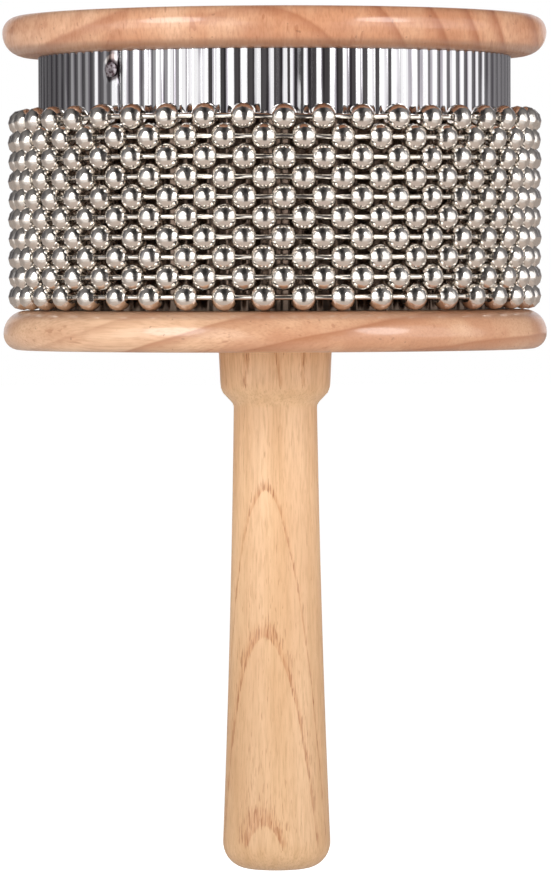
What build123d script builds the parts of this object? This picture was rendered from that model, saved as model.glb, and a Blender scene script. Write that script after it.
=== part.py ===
"""Cabasa: a fluted steel drum on a turned wooden handle, ringed by loops of steel ball chain.

Millimetres, +Z up along the instrument's axis. The origin is on that axis at the middle of
the hand grip, so the handle's butt lies below it and the drum above it.
"""

from build123d import *

import os
from math import cos, pi, radians, sin, sqrt

# Clearances
glue_fit = 0.05  # radial room in glued wooden joints
lap_gap = 0.06  # room between the two layers of the sleeve's seam
sheet_fit = 0.05  # room between the core and the sleeve's valleys
sleeve_end_gap = 0.1  # room between the sleeve's edges and the discs
shank_fit = 0.02  # radial room around a tack's shank
rest_gap = 0.1  # lowest beads above the lower disc

# Handle, turned from one piece
grip_to_shoulder = 72.0  # middle of the grip up to the lower disc
grip_to_butt = 60.2  # middle of the grip down to the butt end
collar_radius = 14.4
collar_skirt_radius = 14.0  # where the collar starts to round over
collar_skirt_height = 8.3
collar_lip_radius = 12.5  # where the round-over turns into the cove
collar_lip_height = 12.0
collar_height = 14.0
neck_radius = 10.6
neck_cove = 0.9
waist_radius = 11.85  # half way along the shaft
swell_radius = 13.95  # widest, near the butt
butt_round = 7.0
tenon_radius = 10.0
tenon_length = 45.0
tenon_chamfer = 1.0
tenon_bore_spare = 1.0  # glue room past the tenon's end

# End discs
disc_overhang = 1.25  # rim beyond the chain
disc_thickness = 10.0
rim_outer_round = 4.0  # round-over on the face away from the drum
rim_inner_round = 5.8  # round-over on the face towards the chain

# Dowels that hold the discs on the wooden core
dowel_radius = 4.0
dowel_in_disc = 6.0
dowel_in_core = 18.0
dowel_end_spare = 0.5  # glue room past each end of a dowel
dowel_inset = 20.75  # from the core's side to a dowel's middle
dowel_count = 3
dowel_chamfer = 0.6

# Fluted steel sleeve, one sheet rolled round the core and lapped by one rib
sleeve_radius = 60.0  # over the crests of the ribs
rib_depth = 0.48
sheet_thickness = 0.4
rib_count = 112
seam_angle = 228.3  # the lap, left of the front

# Tacks through the lap into the core
tack_shank_radius = 0.6
tack_length = 9.0
tack_head_radius = 1.9
tack_head_thickness = 0.5
tack_inset = 4.8  # from the sleeve's edge

# Ball chain
row_count = 10
bead_count = 42  # beads in one loop
bead_diameter = 6.7
bead_length = 5.8  # over the flat ends round its holes
bead_wall = 0.5
bead_hole_radius = 1.1
chain_slack = 1.05  # beads off the sleeve's crests, all round
row_pitch = 4.92
chain_travel = 13.17  # free height above the top row
first_bead_angle = 271.9  # a bead of the top row, just right of the front
link_radius = 0.7
link_head_radius = 1.35
link_head_thickness = 0.7
link_head_reach = 1.1  # middle of a bead to the end of the link's head

# Sizes and heights that follow from these
bead_radius = bead_diameter / 2
chain_radius = sleeve_radius + chain_slack + bead_radius
disc_radius = chain_radius + bead_radius + disc_overhang
core_height = rest_gap + bead_diameter + (row_count - 1) * row_pitch + chain_travel
shoulder_z = grip_to_shoulder
lower_face_z = shoulder_z + disc_thickness
upper_face_z = lower_face_z + core_height
head_z = upper_face_z + disc_thickness
butt_z = -grip_to_butt
lowest_row_z = lower_face_z + rest_gap + bead_radius
valley_radius = sleeve_radius - rib_depth
core_radius = valley_radius - sheet_thickness - sheet_fit
dowel_ring_radius = core_radius - dowel_inset
lap_step = sheet_thickness + lap_gap
tenon_bore_depth = tenon_length - disc_thickness + tenon_bore_spare
dowel_length = dowel_in_disc + dowel_in_core
bead_step = 360 / bead_count

os.makedirs("parts", exist_ok=True)


def save(piece, name):
    """Label a finished piece and write it as its own file."""
    piece.label = name
    export_step(piece, f"parts/{name}.step")


def on_circle(radius, angle):
    """The point at that radius and angle in degrees about the drum's axis."""
    return (radius * cos(radians(angle)), radius * sin(radians(angle)))


# Handle: butt, flared shaft, neck and collar in one turning, with the tenon that enters the drum
shaft_top_z = shoulder_z - collar_height
with BuildPart() as handle:
    with BuildSketch(Plane.XZ) as handle_half:
        with BuildLine():
            Polyline(
                (0, shoulder_z + tenon_length),
                (tenon_radius, shoulder_z + tenon_length),
                (tenon_radius, shoulder_z),
                (collar_radius, shoulder_z),
                (collar_skirt_radius, shoulder_z - collar_skirt_height),
            )
            round_over = TangentArc(
                (collar_skirt_radius, shoulder_z - collar_skirt_height),
                (collar_lip_radius, shoulder_z - collar_lip_height),
                tangent=(collar_skirt_radius - collar_radius, -collar_skirt_height),
            )
            cove = Line(round_over @ 1, (neck_radius, shaft_top_z))
            shaft = ThreePointArc(
                cove @ 1,
                (waist_radius, (shaft_top_z + butt_z) / 2),
                (swell_radius, butt_z),
            )
            Polyline(shaft @ 1, (0, butt_z), (0, shoulder_z + tenon_length))
        make_face()
        neck = handle_half.vertices().sort_by_distance((neck_radius, shaft_top_z))[0]
        fillet(neck, neck_cove)
    revolve(axis=Axis.Z)
    fillet(handle.edges().group_by(Axis.Z)[0], butt_round)
    chamfer(handle.edges().group_by(Axis.Z)[-1], tenon_chamfer)
save(handle.part, "handle")


def disc_blank(inner_z, outer_z):
    """A plain end disc, from the face against the drum to the face away from it."""
    with BuildPart() as blank:
        with BuildSketch(Plane.XZ) as half:
            with BuildLine():
                Polyline(
                    (0, inner_z),
                    (disc_radius, inner_z),
                    (disc_radius, outer_z),
                    (0, outer_z),
                    close=True,
                )
            make_face()
            fillet(half.vertices().sort_by_distance((disc_radius, inner_z))[0], rim_inner_round)
            fillet(half.vertices().sort_by_distance((disc_radius, outer_z))[0], rim_outer_round)
        revolve(axis=Axis.Z)
    return blank.part


# Lower disc: bored right through for the tenon, with blind dowel holes in its drum side
lower_blank = disc_blank(lower_face_z, shoulder_z)
with BuildPart() as lower_disc:
    add(lower_blank)
    with Locations((0, 0, lower_face_z)):
        Hole(tenon_radius + glue_fit)
        with PolarLocations(dowel_ring_radius, dowel_count):
            Hole(dowel_radius + glue_fit, depth=dowel_in_disc + dowel_end_spare)
save(lower_disc.part, "lower_disc")


# Upper disc: plain outer face, with blind dowel holes in its drum side
upper_blank = disc_blank(upper_face_z, head_z)
with BuildPart() as upper_disc:
    add(upper_blank)
    with Locations(Location((0, 0, upper_face_z), (180, 0, 0))):
        with PolarLocations(dowel_ring_radius, dowel_count):
            Hole(dowel_radius + glue_fit, depth=dowel_in_disc + dowel_end_spare)
save(upper_disc.part, "upper_disc")


# The tacks' places: on the drum's axis, looking out through the lap
tack_heights = (lower_face_z + tack_inset, upper_face_z - tack_inset)
tack_planes = [
    Plane((0, 0, height), x_dir=(0, 0, 1), z_dir=(*on_circle(1, seam_angle), 0))
    for height in tack_heights
]
tack_seat = sleeve_radius + lap_step
tack_tip = tack_seat - tack_length


# Core: a solid turned drum, with a blind bore for the tenon, dowel holes and tack holes
with BuildPart() as core:
    with Locations((0, 0, lower_face_z)):
        Cylinder(core_radius, core_height, align=(Align.CENTER, Align.CENTER, Align.MIN))
    with Locations(Location((0, 0, lower_face_z), (180, 0, 0))):
        Hole(tenon_radius + glue_fit, depth=tenon_bore_depth)
        with PolarLocations(dowel_ring_radius, dowel_count):
            Hole(dowel_radius + glue_fit, depth=dowel_in_core + dowel_end_spare)
    with Locations((0, 0, upper_face_z)):
        with PolarLocations(dowel_ring_radius, dowel_count):
            Hole(dowel_radius + glue_fit, depth=dowel_in_core + dowel_end_spare)
    with Locations(*[plane.offset(tack_tip - shank_fit).location for plane in tack_planes]):
        Cylinder(
            tack_shank_radius + shank_fit,
            tack_length,
            align=(Align.CENTER, Align.CENTER, Align.MIN),
            mode=Mode.SUBTRACT,
        )
save(core.part, "core")


# Dowels: one set of three under each disc, half sunk in the disc and half in the core
def dowel_set(disc_end_z, core_end_z):
    """Round chamfered dowels between those two heights."""
    with BuildPart() as dowels:
        with BuildSketch(Plane.XY.offset(min(disc_end_z, core_end_z))):
            with PolarLocations(dowel_ring_radius, dowel_count):
                Circle(dowel_radius)
        extrude(amount=dowel_length)
        chamfer(dowels.edges().filter_by(GeomType.CIRCLE), dowel_chamfer)
    return dowels.part


save(dowel_set(lower_face_z - dowel_in_disc, lower_face_z + dowel_in_core), "lower_dowels")
save(dowel_set(upper_face_z + dowel_in_disc, upper_face_z - dowel_in_core), "upper_dowels")


# Sleeve: one fluted sheet rolled once round the core, its last rib lapping over its first
rib_step = 360 / rib_count


def sheet_side(inset):
    """The creases of one side of the sheet, as far inside the crests and valleys as stated."""
    creases = []
    for crease in range(2 * rib_count + 3):
        radius = sleeve_radius if crease % 2 else valley_radius
        lift = lap_step if crease >= 2 * rib_count else 0
        angle = seam_angle + (crease - 1) * rib_step / 2
        creases.append(on_circle(radius - inset + lift, angle))
    return creases


outside = sheet_side(0)
inside = sheet_side(sheet_thickness)
with BuildPart() as corrugated_sleeve:
    with BuildSketch(Plane.XY.offset(lower_face_z + sleeve_end_gap)):
        Polygon(*outside, *reversed(inside), align=None)
    extrude(amount=core_height - 2 * sleeve_end_gap)
    with Locations(*[plane.offset(tack_tip).location for plane in tack_planes]):
        Cylinder(
            tack_shank_radius + shank_fit,
            tack_length,
            align=(Align.CENTER, Align.CENTER, Align.MIN),
            mode=Mode.SUBTRACT,
        )
save(corrugated_sleeve.part, "corrugated_sleeve")


# Tacks: domed heads on the lap's crest, shanks through both layers into the core
with BuildPart() as tack:
    with BuildSketch(Plane.XZ):
        with BuildLine():
            Polyline(
                (0, tack_seat + tack_head_thickness),
                (0, tack_tip),
                (tack_shank_radius, tack_tip + 2 * tack_shank_radius),
                (tack_shank_radius, tack_seat),
                (tack_head_radius, tack_seat),
                (tack_head_radius, tack_seat + tack_head_thickness / 3),
            )
            TangentArc(
                (0, tack_seat + tack_head_thickness),
                (tack_head_radius, tack_seat + tack_head_thickness / 3),
                tangent=(1, 0),
            )
        make_face()
    revolve(axis=Axis.Z)

with BuildPart() as seam_tacks:
    with Locations(*[plane.location for plane in tack_planes]):
        add(tack.part)
save(seam_tacks.part, "seam_tacks")


# One bead: a hollow ball pressed from strip, flat round the hole at each end, its holes along Y
bore_radius = bead_radius - bead_wall
end_y = bead_length / 2
bore_end_y = end_y - bead_wall
end_radius = sqrt(bead_radius**2 - end_y**2)
bore_end_radius = sqrt(bore_radius**2 - bore_end_y**2)
with BuildPart() as bead:
    with BuildSketch():
        with BuildLine():
            ThreePointArc((end_radius, -end_y), (bead_radius, 0), (end_radius, end_y))
            Polyline(
                (end_radius, end_y),
                (bead_hole_radius, end_y),
                (bead_hole_radius, bore_end_y),
                (bore_end_radius, bore_end_y),
            )
            ThreePointArc(
                (bore_end_radius, bore_end_y),
                (bore_radius, 0),
                (bore_end_radius, -bore_end_y),
            )
            Polyline(
                (bore_end_radius, -bore_end_y),
                (bead_hole_radius, -bore_end_y),
                (bead_hole_radius, -end_y),
                (end_radius, -end_y),
            )
        make_face()
    revolve(axis=Axis.Y)


# One link: a wire pin along Y with a flat head inside each of its two beads
half_chord = chain_radius * sin(pi / bead_count)
link_end = half_chord - link_head_reach
link_neck = link_end - link_head_thickness
with BuildPart() as link:
    with BuildSketch():
        with BuildLine():
            Polyline(
                (0, -link_end),
                (link_head_radius, -link_end),
                (link_head_radius, -link_neck),
                (link_radius, -link_neck),
                (link_radius, link_neck),
                (link_head_radius, link_neck),
                (link_head_radius, link_end),
                (0, link_end),
                close=True,
            )
        make_face()
    revolve(axis=Axis.Y)


# Ten closed loops of chain: each row's beads sit over the gaps of the row below
for row in range(1, row_count + 1):
    height = lowest_row_z + (row_count - row) * row_pitch
    first_angle = first_bead_angle + (row - 1) % 2 * bead_step / 2
    with BuildPart() as row_beads:
        with Locations((0, 0, height)):
            with PolarLocations(chain_radius, bead_count, start_angle=first_angle):
                add(bead.part)
    save(row_beads.part, f"row_{row:02d}_beads")
    with BuildPart() as row_links:
        with Locations((0, 0, height)):
            link_angle = first_angle + bead_step / 2
            link_ring = chain_radius * cos(pi / bead_count)
            with PolarLocations(link_ring, bead_count, start_angle=link_angle):
                add(link.part)
    save(row_links.part, f"row_{row:02d}_links")
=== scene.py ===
import bpy
import random
from math import atan2, cos, pi, radians, sin, tan
from mathutils import Euler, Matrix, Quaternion, Vector


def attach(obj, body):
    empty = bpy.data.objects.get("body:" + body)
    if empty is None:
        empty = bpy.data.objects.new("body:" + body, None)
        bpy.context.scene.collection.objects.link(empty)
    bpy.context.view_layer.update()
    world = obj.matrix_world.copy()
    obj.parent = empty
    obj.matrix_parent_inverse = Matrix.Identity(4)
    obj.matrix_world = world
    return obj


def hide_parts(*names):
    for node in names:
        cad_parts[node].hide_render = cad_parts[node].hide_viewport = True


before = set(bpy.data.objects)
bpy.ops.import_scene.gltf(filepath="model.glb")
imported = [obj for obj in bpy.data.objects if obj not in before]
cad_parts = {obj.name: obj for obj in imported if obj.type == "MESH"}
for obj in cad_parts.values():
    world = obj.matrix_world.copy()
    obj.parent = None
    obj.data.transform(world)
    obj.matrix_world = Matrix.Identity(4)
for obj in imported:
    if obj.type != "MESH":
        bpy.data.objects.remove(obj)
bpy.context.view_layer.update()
bpy.ops.object.select_all(action="DESELECT")
scene = bpy.context.scene
scene.view_settings.view_transform = "Standard"


# Studio: a pale floor some way under the handle, two large oval softboxes with a flash in each
# and a board beyond each, left and right of the camera, and a dim room. Further lamps fill in
# the object's sides, top and back and don't show in the metal.
def add_node(tree, kind, inputs=None, **settings):
    """Adds one node, with its settings, and sets or links its inputs."""
    item = tree.nodes.new(kind)
    for name, value in settings.items():
        setattr(item, name, value)
    for name, value in (inputs or {}).items():
        if isinstance(value, bpy.types.NodeSocket):
            tree.links.new(value, item.inputs[name])
        else:
            item.inputs[name].default_value = value
    return item


def math(tree, operation, first, second=0.0):
    """One arithmetic node's output."""
    return add_node(tree, "ShaderNodeMath", {0: first, 1: second}, operation=operation).outputs[0]


def measure(tree, operation, first, second=(0, 0, 0)):
    """A number from one or two vectors: a length, a distance or a dot product."""
    return add_node(
        tree, "ShaderNodeVectorMath", {0: first, 1: second}, operation=operation
    ).outputs["Value"]


def along_axis(tree, vector, axis):
    """A vector's part along X, Y or Z."""
    return add_node(tree, "ShaderNodeSeparateXYZ", {"Vector": vector}).outputs[axis]


def between(tree, value, low, high, to_low=0.0, to_high=1.0, rise="SMOOTHSTEP"):
    """A value's range mapped to another and clamped, with a smooth rise or a linear one."""
    return add_node(
        tree,
        "ShaderNodeMapRange",
        {"Value": value, "From Min": low, "From Max": high, "To Min": to_low, "To Max": to_high},
        interpolation_type=rise,
    ).outputs[0]


def ramp(tree, factor, stops):
    """A colour ramp with stops of (place, colour)."""
    item = add_node(tree, "ShaderNodeValToRGB", {"Fac": factor})
    band = item.color_ramp
    while len(band.elements) < len(stops):
        band.elements.new(0.5)
    for element, (place, colour) in zip(band.elements, stops):
        element.position = place
        element.color = (*colour, 1)
    return item.outputs["Color"]


def emit(tree, colour, strength=1.0):
    """A surface that shows its colour unlit."""
    return add_node(tree, "ShaderNodeEmission", {"Color": colour, "Strength": strength}).outputs[0]


def backdrop(tree, colour, strength):
    """One layer of the room's background."""
    return add_node(tree, "ShaderNodeBackground", {"Color": colour, "Strength": strength}).outputs[0]


def mix_shaders(tree, share, first, second):
    """The first shader where the share is 0, the second where it is 1."""
    return add_node(tree, "ShaderNodeMixShader", {0: share, 1: first, 2: second}).outputs[0]


def add_shaders(tree, first, second):
    """Two shaders on top of each other."""
    return add_node(tree, "ShaderNodeAddShader", {0: first, 1: second}).outputs[0]


def ray_kinds(tree):
    """Two masks: rays straight from the camera, and rays sent on by metal or glass."""
    path = add_node(tree, "ShaderNodeLightPath").outputs
    sent_on = math(tree, "MAXIMUM", path["Is Glossy Ray"], path["Is Transmission Ray"])
    return path["Is Camera Ray"], sent_on


floor_z = -0.18
floor_size = 24.0
floor_grey = (0.82, 0.80, 0.78, 1)
floor_white = (0.78, 0.78, 0.78, 1)
table_cream = (0.66, 0.56, 0.50, 1)
aisle_shade_grey = (0.07, 0.062, 0.06, 1)
beyond_white = (0.90, 0.85, 0.82, 1)
dull_tan = (0.42, 0.37, 0.34, 1)
table_edge = (0.34, 0.50)
aisle_left = (1, -0.16, 0)
aisle_right = (1, 0.42, 0)
aisle_blur = 0.03
lamplight_end = (-0.45, 0.05)
bpy.ops.mesh.primitive_grid_add(
    x_subdivisions=8, y_subdivisions=8, size=floor_size, location=(0, 0, floor_z)
)
floor = bpy.context.object
floor.name = "studio_floor"
floor_paper = bpy.data.materials.new("floor_paper")
floor_paper.use_nodes = True
tree = floor_paper.node_tree
tree.nodes.clear()
from_camera, from_metal = ray_kinds(tree)
lit = add_node(tree, "ShaderNodeBsdfDiffuse", {"Color": floor_grey}).outputs[0]
shown = add_shaders(tree, lit, emit(tree, floor_white, from_camera))
# The metal mirrors a cream table top, and beyond it a bright floor with painted shade over an aisle
# in front
spot = add_node(tree, "ShaderNodeTexCoord").outputs["Object"]
off_table = between(tree, measure(tree, "LENGTH", spot), *table_edge)
left_side = measure(tree, "DOT_PRODUCT", spot, aisle_left)
right_side = measure(tree, "DOT_PRODUCT", spot, aisle_right)
aisle = math(
    tree,
    "MULTIPLY",
    between(tree, left_side, -aisle_blur, aisle_blur, rise="LINEAR"),
    between(tree, right_side, aisle_blur, -aisle_blur, rise="LINEAR"),
)
ahead = mix_shaders(tree, aisle, emit(tree, beyond_white), emit(tree, aisle_shade_grey))
# Out of the softboxes' reach, at the sides and behind, the floor is a dull tan
unlit = between(tree, along_axis(tree, spot, "Y"), *lamplight_end)
far = mix_shaders(tree, unlit, ahead, emit(tree, dull_tan))
near = add_node(tree, "ShaderNodeBsdfDiffuse", {"Color": table_cream}).outputs[0]
mirrored = mix_shaders(tree, off_table, near, far)
paper = mix_shaders(tree, from_metal, shown, mirrored)
add_node(tree, "ShaderNodeOutputMaterial", {"Surface": paper})
floor.data.materials.append(floor_paper)

# Walls from behind the camera (0) round both sides (0.5) to behind the object (1)
front_wall = (0.075, 0.068, 0.070)
back_wall = (0.85, 0.84, 0.85)
wall_greys = (
    (0.15, 0.085),
    (0.27, 0.12),
    (0.40, 0.20),
    (0.55, 0.21),
    (0.68, 0.14),
    (0.90, 0.09),
    (0.935, 0.10),
    (0.975, 0.6),
)
wall_green = 0.96
right_wall_gain = 1.9
overhead_gain = 0.25
ceiling_cream = (1, 0.95, 0.93, 1)
ceiling_gain = 0.15
room_light = (0.97, 0.98, 1, 1)
room_gain = 0.31
plain_white = (1, 1, 1, 1)
room = bpy.data.worlds.new("studio_room")
scene.world = room
room.use_nodes = True
tree = room.node_tree
tree.nodes.clear()
from_camera, from_metal = ray_kinds(tree)
facing = add_node(tree, "ShaderNodeTexCoord").outputs["Generated"]
sideways = along_axis(tree, facing, "X")
upwards = along_axis(tree, facing, "Z")
round_room = between(tree, along_axis(tree, facing, "Y"), -1, 1, rise="LINEAR")
wall_stops = [(place, (grey, grey * wall_green, grey)) for place, grey in wall_greys]
walls = ramp(tree, round_room, [(0.0, front_wall), *wall_stops, (1.0, back_wall)])
wall_gain = math(
    tree,
    "MULTIPLY",
    between(tree, upwards, 0.15, 0.7, 1, overhead_gain),
    between(tree, sideways, 0, 0.8, 1, right_wall_gain, "LINEAR"),
)
# The softboxes also brighten the ceiling above them, on both sides of the aisle
ceiling = math(
    tree,
    "MULTIPLY",
    between(tree, math(tree, "ABSOLUTE", sideways), 0.18, 0.55, rise="LINEAR"),
    between(tree, upwards, 0.35, 0.6, rise="LINEAR"),
)
spill = backdrop(tree, ceiling_cream, math(tree, "MULTIPLY", ceiling, ceiling_gain))
reflected = add_shaders(tree, backdrop(tree, walls, wall_gain), spill)
around = mix_shaders(tree, from_metal, backdrop(tree, room_light, room_gain), reflected)
view = mix_shaders(tree, from_camera, around, backdrop(tree, plain_white, 1))
add_node(tree, "ShaderNodeOutputWorld", {"Surface": view})


lamp_aim_z = 0.1
lamp_reach = 1.15
wide_lamp_reach = 1.2
wide_lamp_angle = 20


def hang_lamp(name, side_angle, lift_angle, half_width, half_height, radiance):
    """An oval lamp turned to the drum, its place and reach in degrees seen from there."""
    reach = wide_lamp_reach if half_width > wide_lamp_angle else lamp_reach
    lamp = bpy.data.lights.new(name, "AREA")
    lamp.shape = "ELLIPSE"
    lamp.size = 2 * reach * tan(radians(half_width))
    lamp.size_y = 2 * reach * tan(radians(half_height))
    lamp.energy = radiance * pi * lamp.size * lamp.size_y * pi / 4
    box = bpy.data.objects.new(name, lamp)
    side = radians(side_angle)
    lift = radians(lift_angle)
    out = Vector((sin(side) * cos(lift), -cos(side) * cos(lift), sin(lift)))
    box.location = Vector((0, 0, lamp_aim_z)) + reach * out
    box.rotation_euler = out.to_track_quat("Z", "Y").to_euler()
    box.visible_camera = False
    scene.collection.objects.link(box)
    return box


# Angle round from the front, angle up, half width and half height in degrees, then radiance
mirrored_lamps = (
    ("left_softbox", -41.5, 3, 30, 35, 1.12),
    ("left_flash", -43, 18, 13, 16, 4.0),
    ("right_softbox", 55.5, 3, 26.5, 35, 1.12),
    ("right_flash", 46, 17, 11, 13, 4.6),
    ("right_board", 89, 0, 7, 34, 0.8),
    ("left_board", -81, 0, 10, 34, 0.2),
)
fill_lamps = (
    ("low_fill", 5, -6, 20, 8, 2.6),
    ("left_fill", -105, 0, 20, 30, 0.6),
    ("right_fill", 103, -4, 20, 24, 0.9),
    ("top_fill", 0, 80, 22, 22, 1.0),
    ("back_fill", 180, 8, 28, 28, 0.5),
)
for lamp in mirrored_lamps:
    hang_lamp(*lamp)
for lamp in fill_lamps:
    hang_lamp(*lamp).visible_glossy = False

camera_distance = 1.458
camera_height = 0.09212
camera_dip = 1.665
camera_roll = -0.17
lens = bpy.data.cameras.new("camera")
lens.sensor_width = 36
lens.lens = 236.5
camera = bpy.data.objects.new("camera", lens)
camera.location = (0.0, -camera_distance, camera_height)
camera.rotation_mode = "QUATERNION"
tilt = Euler((radians(90 - camera_dip), 0, 0)).to_quaternion()
camera.rotation_quaternion = tilt @ Quaternion((0, 0, 1), radians(camera_roll))
scene.collection.objects.link(camera)
scene.camera = camera


# Handle: one turning of pale ring-porous hardwood, with a collar under the drum, a narrow
# neck, a shaft that swells to the butt and a hidden tenon. Sanded and satin lacquered.
def draw_line(name, corners):
    """A new piece, left in edit mode, that is one line from corner to corner."""
    bpy.ops.object.select_all(action="DESELECT")
    bpy.ops.mesh.primitive_plane_add(size=0.001)
    piece = bpy.context.object
    piece.name = name
    bpy.ops.object.mode_set(mode="EDIT")
    bpy.ops.mesh.merge(type="CENTER")
    bpy.ops.transform.translate(value=corners[0])
    for before, corner in zip(corners, corners[1:]):
        bpy.ops.mesh.extrude_region_move(TRANSFORM_OT_translate={"value": corner - before})
    return piece


def select_points(piece, wanted):
    """Selects the points of a piece in edit mode by their place."""
    bpy.ops.object.mode_set(mode="OBJECT")
    for point in piece.data.vertices:
        point.select = wanted(point.co)
    for edge in piece.data.edges:
        edge.select = all(piece.data.vertices[end].select for end in edge.vertices)
    for face in piece.data.polygons:
        face.select = all(piece.data.vertices[end].select for end in face.vertices)
    bpy.ops.object.mode_set(mode="EDIT")


def face_outwards():
    """Turns all faces of the piece in edit mode outwards and leaves edit mode."""
    bpy.ops.mesh.select_all(action="SELECT")
    bpy.ops.mesh.normals_make_consistent(inside=False)
    bpy.ops.object.mode_set(mode="OBJECT")


def turn_on_lathe(name, profile, rounds, facets):
    """A closed turning from profile points (radius, height), with rounded corners, in metres."""
    piece = draw_line(name, [Vector((radius, 0, height)) for radius, height in profile])
    for (radius, height), size, steps in rounds:
        corner = Vector((radius, 0, height))
        select_points(piece, lambda spot: (spot - corner).length < 1e-5)
        bpy.ops.mesh.bevel(offset=size, segments=steps, affect="VERTICES")
    bpy.ops.mesh.select_all(action="SELECT")
    bpy.ops.mesh.spin(steps=facets, angle=2 * pi, center=(0, 0, 0), axis=(0, 0, 1))
    bpy.ops.mesh.select_all(action="SELECT")
    bpy.ops.mesh.remove_doubles(threshold=1e-6)
    face_outwards()
    bpy.ops.object.shade_smooth_by_angle(angle=radians(40))
    return piece


def new_finish(name):
    """A new material, its nodes, its shader and the place on the piece."""
    finish = bpy.data.materials.new(name)
    finish.use_nodes = True
    tree = finish.node_tree
    place = add_node(tree, "ShaderNodeTexCoord").outputs["Object"]
    return finish, tree, tree.nodes["Principled BSDF"], place


def new_group(name, inputs, outputs):
    """A shader node group with named number and vector inputs and number outputs."""
    group = bpy.data.node_groups.new(name, "ShaderNodeTree")
    for label, kind, value in inputs:
        socket = group.interface.new_socket(label, in_out="INPUT", socket_type=kind)
        if value is not None:
            socket.default_value = value
    for label in outputs:
        group.interface.new_socket(label, in_out="OUTPUT", socket_type="NodeSocketFloat")
    return group, group.nodes.new("NodeGroupInput"), group.nodes.new("NodeGroupOutput")


def use_group(tree, group, inputs):
    """One use of a node group, with its own values."""
    return add_node(tree, "ShaderNodeGroup", inputs, node_tree=group).outputs


def combine(tree, operation, first, second):
    """Two vectors added, subtracted or multiplied."""
    return add_node(
        tree, "ShaderNodeVectorMath", {0: first, 1: second}, operation=operation
    ).outputs[0]


def stretch(tree, vector, scale):
    """The vector scaled along its three axes."""
    return combine(tree, "MULTIPLY", vector, scale)


def noise(tree, vector, scale, detail=2.0, roughness=0.5):
    """A noise texture's value."""
    return add_node(
        tree,
        "ShaderNodeTexNoise",
        {"Vector": vector, "Scale": scale, "Detail": detail, "Roughness": roughness},
    ).outputs[0]


def greys(*stops):
    """Ramp stops of (place, grey)."""
    return [(place, (grey, grey, grey)) for place, grey in stops]


def blend(tree, factor, first, second, mode="MIX"):
    """Two colours mixed."""
    return add_node(
        tree,
        "ShaderNodeMix",
        {0: factor, 6: first, 7: second},
        data_type="RGBA",
        blend_type=mode,
    ).outputs[2]


def roughen(tree, shader, height, strength, distance):
    """Makes a surface uneven by a height."""
    bump = add_node(
        tree, "ShaderNodeBump", {"Height": height, "Strength": strength, "Distance": distance}
    )
    tree.links.new(bump.outputs[0], shader.inputs["Normal"])


# Distance from the tree's pith, wavering a little along the grain, which runs along Z
pith_group, entry, leave = new_group(
    "distance_from_pith",
    [
        ("Vector", "NodeSocketVector", None),
        ("Waver", "NodeSocketFloat", 0.002),
        ("Waver Scale", "NodeSocketFloat", 20.0),
    ],
    ["Distance"],
)
drift = add_node(
    pith_group,
    "ShaderNodeTexNoise",
    {
        "Vector": stretch(pith_group, entry.outputs["Vector"], (1, 1, 0.35)),
        "Scale": entry.outputs["Waver Scale"],
        "Detail": 3.0,
    },
)
centred = combine(pith_group, "SUBTRACT", drift.outputs["Color"], (0.5, 0.5, 0.5))
swing = add_node(
    pith_group,
    "ShaderNodeVectorMath",
    {0: centred, "Scale": entry.outputs["Waver"]},
    operation="SCALE",
).outputs[0]
moved = combine(pith_group, "ADD", entry.outputs["Vector"], swing)
distance = measure(pith_group, "LENGTH", stretch(pith_group, moved, (1, 1, 0)))
pith_group.links.new(distance, leave.inputs["Distance"])

# Fibres, pores and mottling of planed wood, stretched along the grain
fibre_group, entry, leave = new_group(
    "wood_fibres",
    [
        ("Vector", "NodeSocketVector", None),
        ("Fineness", "NodeSocketFloat", 900.0),
        ("Stretch", "NodeSocketFloat", 0.05),
    ],
    ["Fibre", "Pore", "Mottle"],
)
along = add_node(
    fibre_group, "ShaderNodeCombineXYZ", {"X": 1.0, "Y": 1.0, "Z": entry.outputs["Stretch"]}
).outputs[0]
fineness = entry.outputs["Fineness"]
drawn = stretch(fibre_group, entry.outputs["Vector"], along)
aside = combine(fibre_group, "ADD", drawn, (3.7, 1.3, 0.9))
clouds = stretch(fibre_group, entry.outputs["Vector"], (1, 1, 0.3))
finer = math(fibre_group, "MULTIPLY", fineness, 1.6)
fibre_group.links.new(noise(fibre_group, drawn, fineness, 4.0, 0.6), leave.inputs["Fibre"])
fibre_group.links.new(noise(fibre_group, aside, finer, 1.0, 0.4), leave.inputs["Pore"])
fibre_group.links.new(noise(fibre_group, clouds, 55.0, 4.0, 0.6), leave.inputs["Mottle"])

shoulder_z = 0.0720
butt_z = -0.0602
neck_z = shoulder_z - 0.0140
tenon_top_z = shoulder_z + 0.045
tenon_radius = 0.0100
collar_radius = 0.0144
collar_edge = ((0.0140, 0.0083), (0.01385, 0.0098), (0.01335, 0.0111), (0.0125, 0.0120))
neck_radius = 0.0106
shaft_taper = 0.00165
shaft_flare = 0.0017
butt_radius = 0.01395
shaft_length = neck_z - butt_z
shaft_steps = 14
profile = [
    (0, tenon_top_z),
    (tenon_radius, tenon_top_z),
    (tenon_radius, shoulder_z),
    (collar_radius, shoulder_z),
]
for radius, fall in collar_edge:
    profile.append((radius, shoulder_z - fall))
profile.append((neck_radius, neck_z))
for step in range(1, shaft_steps):
    fall = step / shaft_steps
    radius = neck_radius + shaft_taper * fall + shaft_flare * fall**2
    profile.append((radius, neck_z - shaft_length * fall))
profile += [(butt_radius, butt_z), (0, butt_z)]
handle = turn_on_lathe(
    "turned_handle",
    profile,
    [
        ((tenon_radius, tenon_top_z), 0.001, 1),
        ((collar_radius, shoulder_z), 0.0003, 2),
        ((neck_radius, neck_z), 0.0008, 4),
        ((butt_radius, butt_z), 0.0070, 10),
    ],
    96,
)

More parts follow.
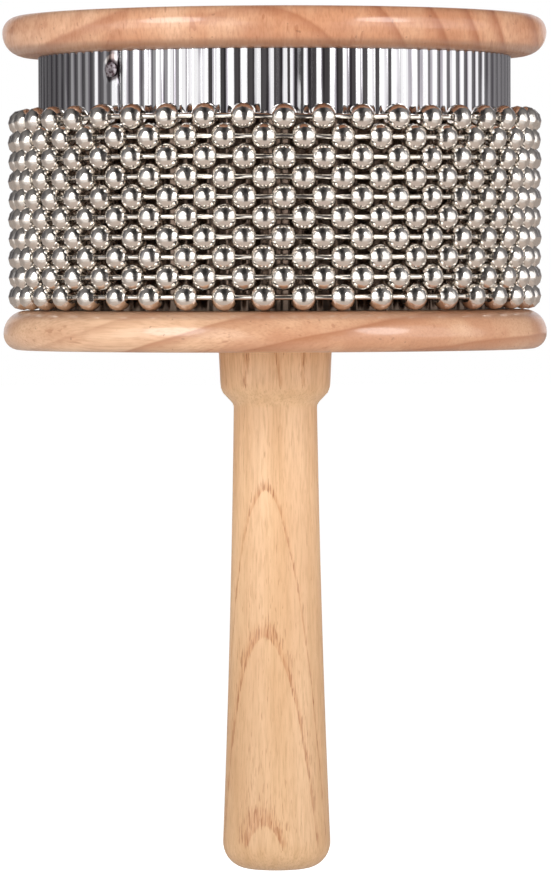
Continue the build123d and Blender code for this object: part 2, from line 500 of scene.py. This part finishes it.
pale_cream = (0.90, 0.60, 0.35, 1)
pale_tan = (0.78, 0.48, 0.26, 1)
band_tan = (0.66, 0.38, 0.18, 1)
fibre_brown = (0.58, 0.32, 0.15, 1)
ring_rust = (0.58, 0.23, 0.08, 1)
pore_brown = (0.40, 0.13, 0.036, 1)
painted_butt_shade = (0.66, 0.60, 0.54, 1)
handle_pith = (-0.0484, -0.194, 0)
grain_lean = (radians(-5.3), 0, 0)
ring_datum = 0.20635
ring_density = 917.4
ring_lead = 0.844
ring_phase = 0.6055
lip_z = 0.0597
collar_line_x = 0.0070
handle_wood, tree, shader, place = new_finish("handle_wood")
grain = add_node(
    tree, "ShaderNodeMapping", {"Vector": place, "Location": handle_pith, "Rotation": grain_lean}
).outputs[0]
pith = use_group(tree, pith_group, {"Vector": grain, "Waver": 0.0012, "Waver Scale": 60.0})
fibres = use_group(tree, fibre_group, {"Vector": place, "Fineness": 2300.0, "Stretch": 0.07})
across = along_axis(tree, place, "X")
level = along_axis(tree, place, "Z")
# The year rings widen towards the pith, so their count grows as a square root
inward = math(tree, "SUBTRACT", pith["Distance"], ring_datum)
inward = math(tree, "MULTIPLY", inward, ring_density)
spread = math(tree, "SQRT", math(tree, "ABSOLUTE", math(tree, "ADD", inward, ring_lead)))
clear = between(tree, inward, -0.6, 0.9, 0.3, 1.0)
rings = math(tree, "FRACT", math(tree, "ADD", spread, ring_phase))
# Towards the sides a ring meets the surface aslant, so its pore line is drawn out
aslant = between(tree, math(tree, "ABSOLUTE", across), 0.002, 0.010, 1.0, 1.9)
behind_line = math(tree, "DIVIDE", math(tree, "SUBTRACT", 1.0, rings), aslant)
early = ramp(
    tree,
    math(tree, "SUBTRACT", 1.0, behind_line),
    greys((0.0, 0.1), (0.35, 0.05), (0.65, 0.2), (0.86, 0.5), (0.95, 1), (0.97, 1), (1.0, 0.1)),
)
# One more ring comes out on the right of the collar
beside_line = math(tree, "ABSOLUTE", math(tree, "SUBTRACT", across, collar_line_x))
collar_line = math(
    tree,
    "MULTIPLY",
    between(tree, beside_line, 0.0002, 0.0012, 0.9, 0.0),
    between(tree, level, 0.0600, 0.0630),
)
# Pore lines fade at the collar's lower lip and at the butt's round
from_lip = math(tree, "ABSOLUTE", math(tree, "SUBTRACT", level, lip_z))
whole = math(
    tree,
    "MULTIPLY",
    between(tree, from_lip, 0.0018, 0.0036, 0.1, 1.0),
    between(tree, level, -0.0565, -0.0520, 0.1, 1.0),
)
ring_pores = math(tree, "MAXIMUM", math(tree, "MULTIPLY", early, clear), collar_line)
porous = math(tree, "MULTIPLY", ring_pores, whole)
plain = blend(tree, between(tree, fibres["Mottle"], 0.3, 0.7), pale_cream, pale_tan)
bands = noise(tree, stretch(tree, place, (1, 1, 0.04)), 450.0)
banded = blend(tree, between(tree, bands, 0.42, 0.70, 0.0, 0.35), plain, band_tan)
fibre_share = between(tree, fibres["Fibre"], 0.42, 0.72, 0.0, 0.5)
fibrous = blend(tree, fibre_share, banded, fibre_brown)
halo = between(tree, porous, 0.5, 1.0, 0.0, 0.5)
streaks = between(tree, fibres["Fibre"], 0.32, 0.62, 0.15, 1.0)
ringed = blend(tree, math(tree, "MULTIPLY", halo, streaks), fibrous, ring_rust)
threshold = math(tree, "SUBTRACT", 0.69, math(tree, "MULTIPLY", porous, 0.19))
over = math(tree, "SUBTRACT", fibres["Pore"], threshold)
pore_depth = between(tree, porous, 0, 1, 0.42, 0.66)
pore_share = math(tree, "MULTIPLY", between(tree, over, 0.0, 0.10), pore_depth)
veined = blend(tree, pore_share, ringed, pore_brown)
# Painted shade: the shaft darkens towards the butt, where the light falls off
shade_towards_butt = between(tree, level, -0.06, 0.06, 0.52, 0.0)
toned = blend(tree, shade_towards_butt, veined, painted_butt_shade, "MULTIPLY")
tree.links.new(toned, shader.inputs["Base Color"])
sheen = between(tree, fibres["Fibre"], 0.3, 0.8, 0.36, 0.5)
tree.links.new(sheen, shader.inputs["Roughness"])
shader.inputs["Coat Weight"].default_value = 0.25
shader.inputs["Coat Roughness"].default_value = 0.22
roughen(tree, shader, fibres["Fibre"], 0.25, 0.0002)
handle.data.materials.append(handle_wood)
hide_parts("handle")
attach(handle, "drum")


# Lower disc: a turned softwood disc, its rim rounded over on both sides, glued and dowelled
# under the drum, with the handle's tenon through it. Broad ring figure under a clear lacquer
# that is thick on the rim only.
disc_radius = 0.0690
disc_thickness = 0.0100
inner_round = 0.0058
outer_round = 0.0040
lower_face_z = shoulder_z + disc_thickness
lacquered_rim = (0.0640, 0.0662)
resin_brown = (0.25, 0.10, 0.05, 1)
drum_side_shade_brown = (0.36, 0.18, 0.105, 1)


def turn_disc(name, inner_z, outer_z, bore):
    """An end disc from its face against the drum to its outer face, with an optional bore."""
    corners = [(bore, inner_z), (disc_radius, inner_z), (disc_radius, outer_z), (bore, outer_z)]
    if bore:
        corners.append((bore, inner_z))
    rounds = [((disc_radius, inner_z), inner_round, 8), ((disc_radius, outer_z), outer_round, 7)]
    return turn_on_lathe(name, corners, rounds, 160)


def disc_finish(
    name, face_z, pith_place, grain_turn, grain_scale, grain_stretch, figure, pale, deep, late
):
    """Softwood with ring figure, painted shade beside the drum's face, its lacquer thick on the rim
    only.
    """
    wood, tree, shader, place = new_finish(name)
    grain = add_node(
        tree,
        "ShaderNodeMapping",
        {"Vector": place, "Rotation": (radians(-90), 0, 0), "Location": pith_place},
    ).outputs[0]
    turned = add_node(
        tree, "ShaderNodeMapping", {"Vector": place, "Rotation": grain_turn, "Scale": grain_scale}
    ).outputs[0]
    pith = use_group(tree, pith_group, {"Vector": grain, "Waver": 0.003, "Waver Scale": 30.0})
    fibres = use_group(
        tree, fibre_group, {"Vector": turned, "Fineness": 1900.0, "Stretch": grain_stretch}
    )
    lines, tone = figure(tree, pith["Distance"], grain)
    mottle = between(tree, fibres["Mottle"], 0.25, 0.75, -0.5, 0.5)
    shade = add_node(tree, "ShaderNodeMath", {0: mottle, 1: tone}, operation="ADD", use_clamp=True)
    plain = blend(tree, shade.outputs[0], pale, deep)
    clouds = noise(tree, stretch(tree, grain, (0.5, 1, 0.15)), 150.0, 3.0)
    patchy = blend(tree, between(tree, clouds, 0.4, 0.7, 0.0, 0.3), plain, late)
    fleck = between(tree, fibres["Fibre"], 0.40, 0.72, 0.0, 0.34)
    fibrous = blend(tree, fleck, patchy, late)
    drawn = noise(tree, stretch(tree, turned, (1, 1, grain_stretch)), 650.0, 1.0)
    streaks = between(tree, drawn, 0.68, 0.74, 0.0, 0.5)
    ringed = blend(tree, math(tree, "MAXIMUM", lines, streaks), fibrous, late)
    resin = between(tree, noise(tree, grain, 900.0, 0.0), 0.80, 0.83, 0.0, 0.4)
    specked = blend(tree, resin, ringed, resin_brown)
    # Painted shade: the wood next to the drum's face, beside the chain, is darkened to brown
    from_face = math(tree, "SUBTRACT", along_axis(tree, place, "Z"), face_z)
    drum_side_shade = between(tree, math(tree, "ABSOLUTE", from_face), 0.0013, 0.0025, 0.55, 0.0)
    tree.links.new(blend(tree, drum_side_shade, specked, drum_side_shade_brown), shader.inputs["Base Color"])
    sheen = between(tree, fibres["Fibre"], 0.3, 0.8, 0.34, 0.52)
    tree.links.new(sheen, shader.inputs["Roughness"])
    shader.inputs["Specular IOR Level"].default_value = 0.25
    from_axis = measure(tree, "LENGTH", stretch(tree, place, (1, 1, 0)))
    lacquer = between(tree, from_axis, *lacquered_rim, 0.0, 0.6)
    tree.links.new(lacquer, shader.inputs["Coat Weight"])
    shader.inputs["Coat Roughness"].default_value = 0.13
    shader.inputs["Coat IOR"].default_value = 1.8
    roughen(tree, shader, fibres["Fibre"], 0.4, 0.0002)
    return wood


def lower_figure(tree, distance, grain):
    """Broad latewood lines every 8 mm, on wood that turns pale towards the bark."""
    ring_width = 0.008
    first_ring = 0.39302
    rings = math(tree, "DIVIDE", math(tree, "SUBTRACT", distance, first_ring), ring_width)
    lines = ramp(
        tree,
        math(tree, "FRACT", rings),
        greys((0.0, 0.0), (0.25, 0.1), (0.46, 0.62), (0.54, 0.85), (0.60, 0.08), (1.0, 0.0)),
    )
    strength = between(tree, distance, 0.403, 0.410, 1.0, 0.45)
    tone = between(tree, distance, 0.394, 0.410, 1.0, 0.0)
    return math(tree, "MULTIPLY", lines, strength), tone


lower_bore = 0.01005
lower_disc = turn_disc("lower_disc_turning", lower_face_z, shoulder_z, lower_bore)
lower_disc_wood = disc_finish(
    "lower_disc_wood",
    lower_face_z,
    pith_place=(-0.090, 0.313, 0),
    grain_turn=(radians(90), radians(55), 0),
    grain_scale=(1, 1, 1),
    grain_stretch=0.04,
    figure=lower_figure,
    pale=(0.88, 0.57, 0.36, 1),
    deep=(0.63, 0.32, 0.18, 1),
    late=(0.44, 0.18, 0.085, 1),
)
lower_disc.data.materials.append(lower_disc_wood)
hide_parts("lower_disc")
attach(lower_disc, "drum")


# Core and dowels: the wooden drum under the sheet and the pins that hold the discs on it,
# plain turned softwood, unfinished, seen only if the drum is taken apart.
def bare_wood(name, pale, late):
    """Unfinished planed wood with its grain along Z."""
    ring_width = 0.006
    wood, tree, shader, place = new_finish(name)
    pith = use_group(tree, pith_group, {"Vector": place})
    fibres = use_group(tree, fibre_group, {"Vector": place})
    turn = math(tree, "FRACT", math(tree, "DIVIDE", pith["Distance"], ring_width))
    ringed = blend(tree, between(tree, turn, 0.5, 0.95, 0.0, 0.6), pale, late)
    fleck = between(tree, fibres["Fibre"], 0.4, 0.8, 0.0, 0.3)
    tree.links.new(blend(tree, fleck, ringed, late), shader.inputs["Base Color"])
    shader.inputs["Roughness"].default_value = 0.7
    return wood


core_wood = bare_wood("core_wood", (0.74, 0.50, 0.31, 1), (0.55, 0.31, 0.16, 1))
dowel_wood = bare_wood("dowel_wood", (0.70, 0.50, 0.33, 1), (0.52, 0.32, 0.18, 1))
for node, wood in (("core", core_wood), ("lower_dowels", dowel_wood), ("upper_dowels", dowel_wood)):
    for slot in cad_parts[node].material_slots:
        slot.material = wood


# Sleeve: one sheet of polished stainless steel, fluted and rolled round the core, its last
# rib lapped over its first and tacked down there. Bright above the chain; behind it rougher, with
# painted shade.
core_height = 0.06425
upper_face_z = lower_face_z + core_height
sleeve_radius = 0.0600
rib_depth = 0.00048
rib_count = 112
rib_step = 2 * pi / rib_count
crease_round = 0.00045
radius_play = 0.00004
angle_play = 0.05
sheet_thickness = 0.0004
lap_step = 0.00046
seam_angle = radians(228.3)
sleeve_edge_gap = 0.0001
sleeve_height = core_height - 2 * sleeve_edge_gap
sleeve_floor_z = lower_face_z + sleeve_edge_gap
dice = random.Random(7)
creases = []
for crease in range(2 * rib_count + 3):
    radius = sleeve_radius if crease % 2 else sleeve_radius - rib_depth
    radius += lap_step if crease >= 2 * rib_count else 0
    angle = seam_angle + (crease - 1) * rib_step / 2
    if 2 < crease < 2 * rib_count:
        radius += dice.uniform(-radius_play, radius_play)
        angle += dice.uniform(-angle_play, angle_play) * rib_step
    creases.append(Vector((radius * cos(angle), radius * sin(angle), sleeve_floor_z)))
sleeve = draw_line("fluted_sleeve", creases)
bpy.ops.mesh.select_all(action="SELECT")
bpy.ops.mesh.bevel(offset=crease_round, segments=4, affect="VERTICES")
bpy.ops.mesh.select_all(action="SELECT")
bpy.ops.mesh.extrude_region_move(TRANSFORM_OT_translate={"value": (0, 0, sleeve_height)})
bpy.ops.object.mode_set(mode="OBJECT")
outward = sum(
    face.normal.dot(Vector((face.center.x, face.center.y, 0))) for face in sleeve.data.polygons
)
if outward < 0:
    bpy.ops.object.mode_set(mode="EDIT")
    bpy.ops.mesh.select_all(action="SELECT")
    bpy.ops.mesh.flip_normals()
    bpy.ops.object.mode_set(mode="OBJECT")
wall = sleeve.modifiers.new("sheet", "SOLIDIFY")
wall.thickness = sheet_thickness
wall.offset = -1
bpy.ops.object.modifier_apply(modifier=wall.name)
bpy.ops.object.shade_smooth_by_angle(angle=radians(50))

steel_grey = (0.70, 0.70, 0.71, 1)
steel_bright = (0.78, 0.77, 0.78, 1)
flute_bottom_grey = (0.25, 0.23, 0.26, 1)
chain_shade_dark = (0.09, 0.065, 0.05, 1)
chain_shade_brown = (0.23, 0.17, 0.135, 1)
rust_brown = (0.20, 0.11, 0.09, 1)
stain_black = (0.06, 0.04, 0.045, 1)
flute_floor = sleeve_radius - rib_depth
flute_bottom_depth = (flute_floor + 0.00011, flute_floor + 0.00020)
above_chain_z = (0.1285, 0.1315)
chain_shade_fade_z = (0.083, 0.088)
tack_inset = 0.0048
tack_x = sleeve_radius * cos(seam_angle)
tack_y = sleeve_radius * sin(seam_angle)
tack_z = upper_face_z - tack_inset
stain_squeeze = 0.85
drip_squeeze = 0.3
drip_lift = 0.0030
sleeve_steel, tree, shader, place = new_finish("sleeve_steel")
shader.inputs["Metallic"].default_value = 1.0
level = along_axis(tree, place, "Z")
drawing = noise(tree, stretch(tree, place, (1, 1, 0.02)), 2600.0)
dents = noise(tree, stretch(tree, place, (1, 1, 0.35)), 90.0)
bright = blend(tree, drawing, steel_grey, steel_bright)
# The sheet is a darker grey in the bottoms of the flutes, more in some places than in others
from_axis = measure(tree, "LENGTH", stretch(tree, place, (1, 1, 0)))
bottom = between(tree, from_axis, *flute_bottom_depth, 1.0, 0.0)
bottom_patches = noise(tree, stretch(tree, place, (1, 1, 0.25)), 160.0)
darker_bottoms = math(tree, "MULTIPLY", bottom, between(tree, bottom_patches, 0.35, 0.6, 0.35, 0.85))
bottoms_toned = blend(tree, darker_bottoms, bright, flute_bottom_grey)
# Behind the chain the sheet is worn dull, and painted shade darkens its colour, most of all near the
# lower disc
above_chain = between(tree, level, *above_chain_z)
chain_shade = blend(tree, between(tree, level, *chain_shade_fade_z), chain_shade_dark, chain_shade_brown)
chain_shaded = blend(tree, above_chain, chain_shade, bottoms_toned)
# Round the upper tack the sheet is dished and stained, with a run of rust
squeezed = stretch(tree, place, (1, 1, stain_squeeze))
away = measure(tree, "DISTANCE", squeezed, (tack_x, tack_y, stain_squeeze * tack_z))
ragged = math(tree, "MULTIPLY", noise(tree, place, 500.0), 0.0014)
stain = between(tree, math(tree, "ADD", away, ragged), 0.0028, 0.0035, 0.9, 0.0)
drawn_out = stretch(tree, place, (1, 1, drip_squeeze))
drip = measure(tree, "DISTANCE", drawn_out, (tack_x, tack_y, drip_squeeze * (tack_z + drip_lift)))
rusty = blend(tree, between(tree, drip, 0.0007, 0.0013, 0.7, 0.0), chain_shaded, rust_brown)
tree.links.new(blend(tree, stain, rusty, stain_black), shader.inputs["Base Color"])
polish = between(tree, drawing, 0.2, 0.8, 0.05, 0.09)
rubbed = between(tree, above_chain, 0, 1, 0.16, 0.0)
tree.links.new(math(tree, "ADD", polish, rubbed), shader.inputs["Roughness"])
dimple = between(tree, away, 0.0018, 0.0036, -0.5, 0.0)
roughen(tree, shader, math(tree, "ADD", dents, dimple), 1.0, 0.00025)
sleeve.data.materials.append(sleeve_steel)
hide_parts("corrugated_sleeve")
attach(sleeve, "drum")


# Tacks: two small steel tacks through the lap into the core, near the sleeve's edges, with
# beaten, slightly dished heads that have gone brown in blotches.
tack_heights = (lower_face_z + tack_inset, upper_face_z - tack_inset)
tack_seat = sleeve_radius + lap_step
head_radius = 0.0019
head_sink = 0.0001
head_thickness = 0.0003
shank_length = 0.0070
beating = 0.00012
beating_depth = 0.00005
bpy.ops.object.select_all(action="DESELECT")
bpy.ops.mesh.primitive_circle_add(
    vertices=14, radius=head_radius, fill_type="NGON", location=(0, 0, tack_seat - head_sink)
)
tack = bpy.context.object
bpy.ops.object.transform_apply()
bpy.ops.object.mode_set(mode="EDIT")
bpy.ops.mesh.select_all(action="SELECT")
bpy.ops.mesh.extrude_region_move(TRANSFORM_OT_translate={"value": (0, 0, head_thickness)})
for border, rise in ((0.0004, 0.00015), (0.0005, 0.0001), (0.0005, -0.0001)):
    bpy.ops.mesh.inset(thickness=border, depth=rise)
select_points(tack, lambda spot: spot.z < tack_seat)
bpy.ops.mesh.inset(thickness=0.0012, depth=0)
bpy.ops.mesh.extrude_region_move(TRANSFORM_OT_translate={"value": (0, 0, -shank_length)})
bpy.ops.transform.resize(value=(0.4, 0.4, 1))
face_outwards()
heads = []
for height in tack_heights:
    bpy.ops.object.select_all(action="DESELECT")
    head = tack.copy()
    head.data = tack.data.copy()
    scene.collection.objects.link(head)
    shake = random.Random(3)
    for point in head.data.vertices:
        if point.co.z > tack_seat:
            point.co.x += shake.uniform(-beating, beating)
            point.co.y += shake.uniform(-beating, beating)
            point.co.z += shake.uniform(-beating_depth, beating_depth)
    head.rotation_euler = (0, radians(90), seam_angle)
    head.location = (0, 0, height)
    head.select_set(True)
    bpy.context.view_layer.objects.active = head
    bpy.ops.object.transform_apply()
    heads.append(head)
bpy.data.objects.remove(tack)
for head in heads:
    head.select_set(True)
bpy.context.view_layer.objects.active = heads[0]
bpy.ops.object.join()
tacks = bpy.context.object
tacks.name = "lap_tacks"
bpy.ops.object.shade_smooth_by_angle(angle=radians(35))

tack_grey = (0.32, 0.29, 0.31, 1)
tack_brown = (0.08, 0.05, 0.06, 1)
tack_steel, tree, shader, place = new_finish("tack_steel")
blotch = noise(tree, place, 900.0, 3.0)
tarnish = blend(tree, between(tree, blotch, 0.45, 0.62), tack_grey, tack_brown)
tree.links.new(tarnish, shader.inputs["Base Color"])
shader.inputs["Metallic"].default_value = 0.8
tree.links.new(between(tree, blotch, 0.3, 0.7, 0.3, 0.6), shader.inputs["Roughness"])
tacks.data.materials.append(tack_steel)
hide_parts("seam_tacks")
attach(tacks, "drum")


# Chain beads: ten closed loops of 42 hollow nickel-plated steel beads, pressed from strip,
# lying loose on each other round the sleeve, each row half a bead on from the last.
row_count = 10
bead_count = 42
bead_radius = 0.00335
bead_half_length = 0.0029
bead_hole = 0.0011
bead_rim = (bead_radius**2 - bead_half_length**2) ** 0.5
hole_sink = 0.0002
chain_radius = 0.0644
row_pitch = 0.00492
disc_gap = 0.0001
lowest_row_z = lower_face_z + disc_gap + bead_radius
first_bead_angle = radians(271.9)
bead_step = 2 * pi / bead_count
sag_angle = radians(295)
sag_depth = 0.0002
slip_reach = 0.00012
bead_play = 0.00008
bpy.ops.object.select_all(action="DESELECT")
bpy.ops.mesh.primitive_uv_sphere_add(segments=12, ring_count=8, radius=bead_radius)
bead = bpy.context.object
bead.rotation_euler = (radians(90), 0, 0)
bpy.ops.object.transform_apply()
bpy.ops.object.mode_set(mode="EDIT")
for side in (-1, 1):
    bpy.ops.mesh.select_all(action="SELECT")
    bpy.ops.mesh.bisect(
        plane_co=(0, side * bead_half_length, 0),
        plane_no=(0, side, 0),
        use_fill=True,
        clear_outer=True,
    )
    bpy.ops.mesh.inset(thickness=bead_rim - bead_hole, depth=-hole_sink)
face_outwards()
bpy.ops.object.shade_smooth_by_angle(angle=radians(40))

nickel_grey = (0.80, 0.755, 0.70, 1)
nickel_bright = (0.86, 0.82, 0.77, 1)
nickel, tree, shader, place = new_finish("bead_nickel")
bloom = noise(tree, place, 700.0)
shader.inputs["Metallic"].default_value = 1.0
tree.links.new(blend(tree, bloom, nickel_grey, nickel_bright), shader.inputs["Base Color"])
tree.links.new(between(tree, bloom, 0.3, 0.7, 0.13, 0.19), shader.inputs["Roughness"])
roughen(tree, shader, noise(tree, place, 330.0), 1.0, 0.0002)


def row_height(row):
    """The height of a row's middle, row 1 being the uppermost."""
    return lowest_row_z + (row_count - row) * row_pitch


def row_start(row):
    """The angle of a row's first bead."""
    return first_bead_angle + (row - 1) % 2 * bead_step / 2


def string_row(master, name, ring, angle, height):
    """Copies a piece of chain once round the drum at that height, as one row."""
    bpy.ops.object.select_all(action="DESELECT")
    row = master.copy()
    row.data = master.data.copy()
    row.name = name
    scene.collection.objects.link(row)
    row.rotation_euler = (0, 0, angle)
    row.location = (ring * cos(angle), ring * sin(angle), height)
    row.select_set(True)
    bpy.context.view_layer.objects.active = row
    bpy.ops.object.transform_apply()
    bpy.ops.object.mode_set(mode="EDIT")
    bpy.ops.mesh.select_all(action="SELECT")
    copies = bead_count - 1
    bpy.ops.mesh.spin(
        steps=copies, dupli=True, angle=copies * bead_step, center=(0, 0, 0), axis=(0, 0, 1)
    )
    bpy.ops.object.mode_set(mode="OBJECT")
    return row


def let_sag(piece, row):
    """Lets a row hang a little unevenly: more the higher it lies, each bead moved as a whole."""
    share = (row_count - row) / (row_count - 1)
    start = row_start(row)
    jolt = random.Random(row)
    shifts = []
    for number in range(bead_count):
        angle = start + number * bead_step
        drop = -sag_depth * (1 + cos(3 * (angle - sag_angle)))
        drop += jolt.uniform(-bead_play, bead_play)
        slip = slip_reach * sin(4 * angle + 0.5 * row) + jolt.uniform(-bead_play, bead_play)
        shifts.append((share * drop, slip))
    for point in piece.data.vertices:
        turn = (atan2(point.co.y, point.co.x) - start) / bead_step % bead_count
        before = int(turn)
        # From one bead to the next the shift changes over the middle of the link alone
        part = min(1, max(0, (turn - before - 0.35) / 0.3))
        left = shifts[before % bead_count]
        right = shifts[(before + 1) % bead_count]
        point.co.z += left[0] + part * (right[0] - left[0])
        slip = left[1] + part * (right[1] - left[1])
        point.co += slip / chain_radius * Vector((-point.co.y, point.co.x, 0))


for row in range(1, row_count + 1):
    beads = string_row(
        bead, f"bead_row_{row:02d}", chain_radius, row_start(row), row_height(row)
    )
    let_sag(beads, row)
    beads.data.materials.append(nickel)
    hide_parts(f"row_{row:02d}_beads")
    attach(beads, f"chain_row_{row:02d}")
bpy.data.objects.remove(bead)


# Chain links: short nickel-plated wire pins between the beads, flared where they enter the
# holes, with a head inside each bead.
link_radius = 0.0007
link_ring = chain_radius * cos(pi / bead_count)
half_chord = chain_radius * sin(pi / bead_count)
flare_start = 0.0030
flare_lengths = (0.0006, 0.0007)
flare = (1.15, 1, 1.15)
half_pin = half_chord - flare_start
bpy.ops.object.select_all(action="DESELECT")
bpy.ops.mesh.primitive_cylinder_add(
    vertices=8, radius=link_radius, depth=2 * half_pin, end_fill_type="NGON"
)
link = bpy.context.object
link.rotation_euler = (radians(90), 0, 0)
bpy.ops.object.transform_apply()
bpy.ops.object.mode_set(mode="EDIT")
for side in (-1, 1):
    select_points(link, lambda spot: spot.y * side > half_pin / 2)
    for length in flare_lengths:
        bpy.ops.mesh.extrude_region_move(TRANSFORM_OT_translate={"value": (0, side * length, 0)})
        bpy.ops.transform.resize(value=flare)
face_outwards()
bpy.ops.object.shade_smooth_by_angle(angle=radians(50))

wire_grey = (0.80, 0.76, 0.70, 1)
wire_bright = (0.88, 0.85, 0.80, 1)
wire, tree, shader, place = new_finish("link_wire")
scuff = noise(tree, place, 1500.0)
shader.inputs["Metallic"].default_value = 1.0
tree.links.new(blend(tree, scuff, wire_grey, wire_bright), shader.inputs["Base Color"])
tree.links.new(between(tree, scuff, 0.3, 0.7, 0.09, 0.16), shader.inputs["Roughness"])
for row in range(1, row_count + 1):
    angle = row_start(row) + bead_step / 2
    links = string_row(link, f"link_row_{row:02d}", link_ring, angle, row_height(row))
    let_sag(links, row)
    links.data.materials.append(wire)
    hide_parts(f"row_{row:02d}_links")
    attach(links, f"chain_row_{row:02d}")
bpy.data.objects.remove(link)


# Upper disc: the same softwood as the lower disc, turned without a bore and closing the top
# of the drum. Its front rim shows end grain, with the rings as arcs.
def upper_figure(tree, distance, grain):
    """Latewood lines that crowd together away from the pith, and pale sapwood on the left."""
    nearest = 0.020
    farthest = 0.080
    arc_lines = (
        (0.0270, 0.6),
        (0.0406, 0.8),
        (0.0509, 0.85),
        (0.0586, 0.85),
        (0.0647, 0.8),
        (0.0735, 0.7),
    )
    stops = [(0.0, 0.1)]
    for line, depth in arc_lines:
        middle = (line - nearest) / (farthest - nearest)
        stops += [(middle - 0.04, 0.03), (middle, depth), (middle + 0.012, 0.0)]
    across = along_axis(tree, grain, "X")
    strength = between(tree, across, -0.02, 0.005, 0.25, 1.0)
    reach = between(tree, distance, nearest, farthest, rise="LINEAR")
    arcs = math(tree, "MULTIPLY", ramp(tree, reach, greys(*stops)), strength)
    # One more ring runs up to the left, almost straight
    slope = measure(tree, "DOT_PRODUCT", grain, (-0.38, 1, 0))
    rise = between(tree, slope, 0.0345, 0.0380, 0.0, 0.6)
    fall = between(tree, slope, 0.0382, 0.0396, 1.0, 0.0)
    left = between(tree, across, -0.036, -0.026, 1.0, 0.0)
    straight = math(tree, "MULTIPLY", math(tree, "MULTIPLY", rise, fall), left)
    heart = between(tree, across, -0.05, 0.02, 0.62, 0.74)
    sap = between(tree, across, -0.057, -0.039, 0.1, 1.0)
    return math(tree, "MAXIMUM", arcs, straight), math(tree, "MULTIPLY", heart, sap)


head_z = upper_face_z + disc_thickness
upper_disc = turn_disc("upper_disc_turning", upper_face_z, head_z, 0)
upper_disc_wood = disc_finish(
    "upper_disc_wood",
    upper_face_z,
    pith_place=(0.005, -0.129, 0),
    grain_turn=(0, 0, 0),
    grain_scale=(1, 0.06, 1),
    grain_stretch=0.3,
    figure=upper_figure,
    pale=(0.93, 0.60, 0.39, 1),
    deep=(0.67, 0.32, 0.17, 1),
    late=(0.40, 0.13, 0.055, 1),
)
upper_disc.data.materials.append(upper_disc_wood)
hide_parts("upper_disc")
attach(upper_disc, "drum")
